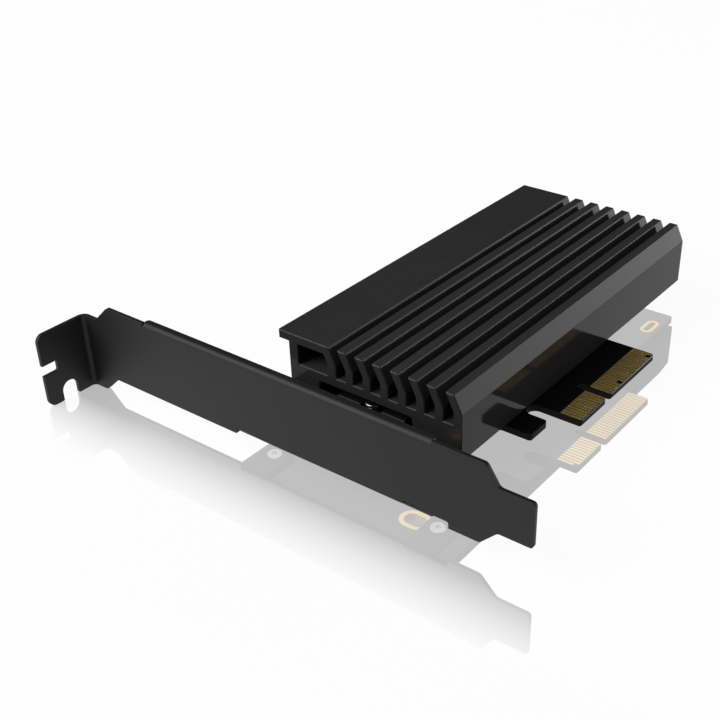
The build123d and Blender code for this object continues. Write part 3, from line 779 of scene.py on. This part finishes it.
@dataclass(frozen=True)
class MachineScrew(Repeated):
    """Pan-head screw with a cross recess and a rolled thread, modelled with its shank pointing up."""

    shank_radius: float
    head_radius: float
    head_height: float
    pitch: float
    nodes: tuple[str, ...]
    axis: Axis = Axis.UP
    thread_depth: float = 0.16 * MM
    crest_share: float = 0.2
    recess_width: float = 0.42 * MM
    recess_depth_share: float = 0.62
    recess_reach_share: float = 0.62
    recess_taper: float = 0.45
    crown_share: float = 0.62
    crown_steps: int = 6
    buried_share: float = 0.2
    spare_turns: int = 4
    steps: int = 24
    finish: Finish = STEEL

    def model(self, box: Box) -> bpy.types.Object:
        """Models the screw, with the underside of its head at the origin.

        Args:
            box: The first node's box.

        Returns:
            The model.
        """
        head = self.head()
        shank = self.shank(box[1][2] - box[0][2] - self.head_height)
        Workbench.pick(head, shank)
        bpy.ops.object.join()
        head.data.materials.clear()
        head.data.materials.append(self.finish.material())
        Workbench.smooth(head)
        return head

    def head(self) -> bpy.types.Object:
        """Turns the pan head and cuts its recess.

        Returns:
            The head, below the origin.
        """
        top = -self.head_height
        head = Workbench.rod(self.head_radius, top, 0.0, sides=48)
        with Workbench.editing(head):
            Workbench.select_edges(head, lambda a, b: max(a.z, b.z) < top + MERGE_GAP)
            bpy.ops.mesh.bevel(offset=self.head_height * self.crown_share, segments=self.crown_steps, profile=0.5,
                               affect="EDGES")
        Workbench.combine(head, self.cross(), "DIFFERENCE")
        return head

    def cross(self) -> bpy.types.Object:
        """Makes the punch of the cross recess, tapered towards its tip.

        Returns:
            The punch.
        """
        reach = self.head_radius * self.recess_reach_share
        depth = self.head_height * self.recess_depth_share
        size = (2 * reach, self.recess_width, 2 * depth)
        arms = [Workbench.block(size, (0.0, 0.0, -self.head_height)) for _ in range(2)]
        arms[1].rotation_euler = (0.0, 0.0, math.pi / 2)
        for arm in arms:
            Workbench.settle(arm)
            with Workbench.editing(arm):
                Workbench.select_faces(arm, lambda middle, normal: normal.z > TOP_FACE)
                bpy.ops.transform.resize(value=(self.recess_taper, self.recess_taper, 1.0))
        Workbench.combine(arms[0], arms[1], "UNION")
        return arms[0]

    def shank(self, length: float) -> bpy.types.Object:
        """Winds the thread's profile up the shank and cuts it square at both ends.

        Args:
            length: From under the head to the tip.

        Returns:
            The threaded shank.
        """
        root = self.shank_radius - self.thread_depth
        flank = self.pitch * (1 - 2 * self.crest_share) / 2
        runs = ((0.0, self.pitch * self.crest_share), (self.thread_depth, flank),
                (0.0, self.pitch * self.crest_share), (-self.thread_depth, flank))
        bpy.ops.mesh.primitive_plane_add(size=self.pitch, location=(root, 0.0, -2 * self.pitch))
        shank = Workbench.settle(bpy.context.active_object)
        with Workbench.editing(shank):
            bpy.ops.mesh.select_all(action="SELECT")
            bpy.ops.mesh.merge(type="CENTER")
            for outwards, upwards in runs:
                bpy.ops.mesh.extrude_vertices_move(TRANSFORM_OT_translate={"value": (outwards, 0.0, upwards)})
        turns = math.ceil(length / self.pitch) + self.spare_turns
        Workbench.modify(shank, "SCREW", angle=2 * math.pi, screw_offset=self.pitch, iterations=turns,
                         steps=self.steps, render_steps=self.steps, use_merge_vertices=False)
        Workbench.clean(shank)
        with Workbench.editing(shank):
            for height, keep_above in ((-self.head_height * self.buried_share, True), (length, False)):
                bpy.ops.mesh.select_all(action="SELECT")
                bpy.ops.mesh.bisect(plane_co=(0.0, 0.0, height), plane_no=(0.0, 0.0, 1.0), use_fill=True,
                                    clear_inner=keep_above, clear_outer=not keep_above, threshold=MERGE_GAP / 100)
        Workbench.clean(shank)
        return shank

    def seat(self, box: Box) -> Place:
        """Puts the underside of the head at the right height.

        Args:
            box: The node's box.

        Returns:
            The place.
        """
        low, high = box
        height = low[2] + self.head_height if self.axis is Axis.UP else high[2] - self.head_height
        return (low[0] + high[0]) / 2, (low[1] + high[1]) / 2, height


@dataclass(frozen=True)
class HexNut(Repeated):
    """Hexagon nut with rounded corners and a chamfered bore."""

    bore_radius: float
    nodes: tuple[str, ...]
    finish: Finish
    corner_chamfer: float = 0.28 * MM
    bore_chamfer: float = 0.12 * MM

    def model(self, box: Box) -> bpy.types.Object:
        """Models the nut standing on the origin.

        Args:
            box: The first node's box.

        Returns:
            The model.
        """
        corner = (box[1][0] - box[0][0]) / math.sqrt(3)
        height = box[1][2] - box[0][2]
        nut = Workbench.rod(corner, 0.0, height, sides=6)
        turned = Workbench.rod(corner, 0.0, height, sides=60)
        with Workbench.editing(turned):
            Workbench.select_edges(turned, lambda a, b: abs(a.z - b.z) < MERGE_GAP)
            bpy.ops.mesh.bevel(offset=self.corner_chamfer, segments=1, affect="EDGES")
        Workbench.combine(nut, turned, "INTERSECT")
        Workbench.combine(nut, Workbench.rod(self.bore_radius, -height, 2 * height), "DIFFERENCE")
        rim = self.bore_radius + 10 * MERGE_GAP
        with Workbench.editing(nut):
            Workbench.select_edges(nut, lambda a, b: max(a.xy.length, b.xy.length) < rim
                                   and abs(a.z - b.z) < MERGE_GAP)
            bpy.ops.mesh.bevel(offset=self.bore_chamfer, segments=1, affect="EDGES")
        nut.data.materials.clear()
        nut.data.materials.append(self.finish.material())
        Workbench.smooth(nut)
        return nut

    def seat(self, box: Box) -> Place:
        """Stands the nut on the middle of the box's lower face.

        Args:
            box: The node's box.

        Returns:
            The place.
        """
        low, high = box
        return (low[0] + high[0]) / 2, (low[1] + high[1]) / 2, low[2]


@dataclass(frozen=True)
class ChipCapacitor(Repeated):
    """Ceramic block with tinned ends that wrap round it."""

    nodes: tuple[str, ...]
    end_length: float = 0.5 * MM
    tin_thickness: float = 0.03 * MM
    edge_radius: float = 0.12 * MM
    edge_steps: int = 3

    def model(self, box: Box) -> bpy.types.Object:
        """Models the capacitor about the origin, with a tinned part at each end of its longer side.

        Args:
            box: The first node's box.

        Returns:
            The model.
        """
        size = Vector(box[1]) - Vector(box[0])
        way = 0 if size.x > size.y else 1
        body = Workbench.block(tuple(side - 2 * self.tin_thickness for side in size), (0.0, 0.0, 0.0))
        cut = size[way] / 2 - self.end_length
        normal = (1.0, 0.0, 0.0) if way == 0 else (0.0, 1.0, 0.0)
        body.data.materials.append(CERAMIC.material())
        body.data.materials.append(TIN.material())
        Workbench.ease(body, self.edge_radius, self.edge_steps)
        with Workbench.editing(body):
            for side in (-cut, cut):
                bpy.ops.mesh.select_all(action="SELECT")
                bpy.ops.mesh.bisect(plane_co=tuple(side * share for share in normal), plane_no=normal)
            bpy.ops.mesh.select_all(action="DESELECT")
            Workbench.select_faces(body, lambda middle, _: abs(middle[way]) > cut)
            body.active_material_index = 1
            bpy.ops.object.material_slot_assign()
            bpy.ops.mesh.extrude_region_shrink_fatten(TRANSFORM_OT_shrink_fatten={
                "value": self.tin_thickness, "use_even_offset": True})
        Workbench.smooth(body)
        return body

    def seat(self, box: Box) -> Place:
        """Puts the capacitor's middle in the middle of the box.

        Args:
            box: The node's box.

        Returns:
            The place.
        """
        return tuple((Vector(box[0]) + Vector(box[1])) / 2)


class CadFinisher:
    """Gives each carried-over CAD piece its finish by the record's material slot."""

    def dress(self) -> None:
        """Sets the material of every CAD piece."""
        for node, finish in FINISH_OF_NODE.items():
            for slot in frame["nodes"][node].material_slots:
                slot.material = finish.material()
            LOG.info("%s: %s", node, finish.name)


@dataclass(frozen=True)
class Lamp:
    """Round soft lamp that faces the card."""

    name: str
    toward: tuple[float, float, float]
    half_angle: float
    radiance: float
    distance: float = 1.5

    def hang(self) -> None:
        """Adds the lamp at its distance, sized by the angle that it fills."""
        radius = self.distance * math.tan(math.radians(self.half_angle))
        data = bpy.data.lights.new(self.name, "AREA")
        data.shape = "DISK"
        data.size = 2 * radius
        data.energy = (math.pi * radius) ** 2 * self.radiance
        lamp = bpy.data.objects.new(self.name, data)
        bpy.context.scene.collection.objects.link(lamp)
        lamp.location = Vector(self.toward).normalized() * self.distance
        lamp.rotation_euler = (-lamp.location).to_track_quat("-Z", "Y").to_euler()
        lamp.visible_camera = False


@dataclass
class Studio:
    """White mirror floor that is see-through from below, white surroundings, soft lamps and the camera."""

    floor_size: float = 6.0
    floor_gap: float = 0.02 * MM
    mirror_share: float = 0.49
    mirror_end: float = 5.0 * MM
    mirror_fade: float = 18.0 * MM
    fade_power: float = 1.7
    shade_share: float = 0.1
    bounce: float = 0.6
    ambient: float = 0.12
    white_below: float = 4.0
    dark_above: float = 15.0
    overhead: float = 0.012
    lamps: tuple[Lamp, ...] = (
        Lamp("back_lamp", (0.617, 0.785, 0.1), 16.0, 3.2),
        Lamp("key_lamp", (-0.5, -0.62, 0.6), 24.0, 5.5),
        Lamp("top_lamp", (0.0, 0.0, 1.0), 20.0, 1.0))

    def floor_material(self) -> bpy.types.Material:
        """White with a share of mirror and of shadow where it is seen, grey where it only lights the card.

        Returns:
            The floor's material.
        """
        material = bpy.data.materials.new("studio_floor")
        material.use_nodes = True
        material.cycles.emission_sampling = "NONE"
        tree = NodeTree(material.node_tree)
        white = (1.0, 1.0, 1.0, 1.0)
        glow = tree.add("ShaderNodeEmission", {"Color": white, "Strength": 1.0})
        matt = tree.add("ShaderNodeBsdfDiffuse", {"Color": white})
        grey = tree.add("ShaderNodeBsdfDiffuse", {"Color": (self.bounce, self.bounce, self.bounce, 1.0)})
        mirror = tree.add("ShaderNodeBsdfAnisotropic", {"Color": white, "Roughness": 0.0})
        shaded = tree.add("ShaderNodeMixShader", {0: self.shade_share, 1: glow.outputs[0], 2: matt.outputs[0]})
        path = tree.add("ShaderNodeLightPath").outputs
        polish = tree.math("MULTIPLY", self.mirror_mask(tree), path["Is Camera Ray"])
        mixed = tree.add("ShaderNodeMixShader", {0: polish, 1: shaded.outputs[0], 2: mirror.outputs[0]})
        shiny = tree.math("MAXIMUM", path["Is Glossy Ray"], path["Is Transmission Ray"])
        seen = tree.math("MAXIMUM", path["Is Camera Ray"], shiny)
        plain = tree.add("ShaderNodeMixShader", {0: seen, 1: grey.outputs[0], 2: mixed.outputs[0]})
        back = tree.add("ShaderNodeNewGeometry").outputs["Backfacing"]
        clear = tree.add("ShaderNodeBsdfTransparent", {"Color": white})
        sided = tree.add("ShaderNodeMixShader", {0: back, 1: plain.outputs[0], 2: clear.outputs[0]})
        tree.add("ShaderNodeOutputMaterial", {"Surface": sided.outputs[0]})
        return material

    def mirror_mask(self, tree: NodeTree) -> bpy.types.NodeSocket:
        """Share of mirror, which fades out in front of the bracket's face.

        Args:
            tree: The floor's tree.

        Returns:
            The mask.
        """
        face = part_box("bracket")[0][1] + FLANGE_DEPTH
        place = tree.add("ShaderNodeTexCoord").outputs["Object"]
        along = tree.add("ShaderNodeSeparateXYZ", {0: place}).outputs[1]
        full = face - self.mirror_end
        rest = tree.stretch(along, full - self.mirror_fade, full)
        return tree.math("MULTIPLY", tree.math("POWER", rest, self.fade_power), self.mirror_share)

    def surroundings(self) -> None:
        """Makes the world white where it is seen, dark overhead in gloss, and grey where it only lights."""
        world = bpy.data.worlds.new("studio_world")
        world.use_nodes = True
        world.cycles.sampling_method = "NONE"
        bpy.context.scene.world = world
        tree = NodeTree(world.node_tree)
        way = tree.add("ShaderNodeTexCoord").outputs["Generated"]
        height = tree.add("ShaderNodeSeparateXYZ", {0: way}).outputs[2]
        ends = [math.sin(math.radians(angle)) for angle in (self.white_below, self.dark_above)]
        sky = tree.add("ShaderNodeMapRange", {0: height, 1: ends[0], 2: ends[1], 3: 1.0, 4: self.overhead},
                       interpolation_type="SMOOTHSTEP").outputs[0]
        path = tree.add("ShaderNodeLightPath").outputs
        clear = tree.math("MAXIMUM", path["Is Singular Ray"], path["Is Transmission Ray"])
        direct = tree.math("MAXIMUM", path["Is Camera Ray"], clear)
        lit = tree.add("ShaderNodeMix", {0: path["Is Glossy Ray"], 2: self.ambient, 3: sky}).outputs[0]
        strength = tree.add("ShaderNodeMix", {0: direct, 2: lit, 3: 1.0}).outputs[0]
        light = tree.add("ShaderNodeBackground", {"Color": (1.0, 1.0, 1.0, 1.0), "Strength": strength})
        tree.add("ShaderNodeOutputWorld", {"Surface": light.outputs[0]})

    def floor(self) -> None:
        """Lays the floor just below the card's lowest edge."""
        low = CAD_BOX[0][2] - self.floor_gap
        bpy.ops.mesh.primitive_plane_add(size=self.floor_size, location=(0.0, 0.0, low))
        floor = bpy.context.active_object
        floor.name = "studio_floor"
        floor.data.materials.append(self.floor_material())

    def camera(self) -> None:
        """Sets the camera where the photograph was taken from."""
        data = bpy.data.cameras.new("photo_camera")
        data.sensor_width = SENSOR_MM
        data.sensor_fit = "HORIZONTAL"
        data.lens = FOCAL_PIXELS * SENSOR_MM / FRAME_PIXELS
        data.shift_x = 0.5 - CENTRE_PIXEL[0] / FRAME_PIXELS
        data.shift_y = CENTRE_PIXEL[1] / FRAME_PIXELS - 0.5
        data.clip_start = 0.01
        camera = bpy.data.objects.new("photo_camera", data)
        bpy.context.scene.collection.objects.link(camera)
        camera.location = Vector(CAMERA_PLACE_MM) * MM
        camera.rotation_euler = (math.radians(90 - CAMERA_ELEVATION), 0.0, math.radians(CAMERA_AZIMUTH))
        bpy.context.scene.camera = camera

    def build(self) -> None:
        """Sets up floor, surroundings, lamps and camera."""
        bpy.context.scene.view_settings.view_transform = "Standard"
        self.surroundings()
        self.floor()
        for lamp in self.lamps:
            lamp.hang()
        self.camera()


NEW_PIECES = (
    EasedCopy("bracket", width=0.04 * MM, weld=0.06 * MM, flatness=0.0),
    EasedCopy("heatsink", width=0.05 * MM),
    EasedCopy("circuit_board", width=0.05 * MM, side_finish=LAMINATE),
    EasedCopy("board_thermal_pad", width=0.3 * MM),
    EasedCopy("heatsink_thermal_pad", width=0.3 * MM),
    MachineScrew(shank_radius=1.0 * MM, head_radius=1.7 * MM, head_height=0.9 * MM, pitch=0.4 * MM,
                 nodes=("bracket_screw_1", "bracket_screw_2")),
    MachineScrew(shank_radius=1.25 * MM, head_radius=2.25 * MM, head_height=1.0 * MM, pitch=0.45 * MM,
                 nodes=tuple(f"heatsink_screw_{number}" for number in range(1, 5))),
    MachineScrew(shank_radius=1.0 * MM, head_radius=1.75 * MM, head_height=0.6 * MM, pitch=0.4 * MM,
                 nodes=("drive_screw",), axis=Axis.DOWN),
    HexNut(bore_radius=1.0 * MM, nodes=("bracket_nut_1", "bracket_nut_2"), finish=STEEL),
    HexNut(bore_radius=1.5 * MM, nodes=("standoff_nut",), finish=POST_METAL),
    ChipCapacitor(nodes=tuple(f"bulk_capacitor_{number}" for number in range(1, 5))))


def main() -> None:
    """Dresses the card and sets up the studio."""
    logging.basicConfig(level=logging.INFO, format="%(name)s: %(message)s")
    CadFinisher().dress()
    for piece in NEW_PIECES:
        piece.build()
    Studio().build()


if __name__ == "__main__":
    main()
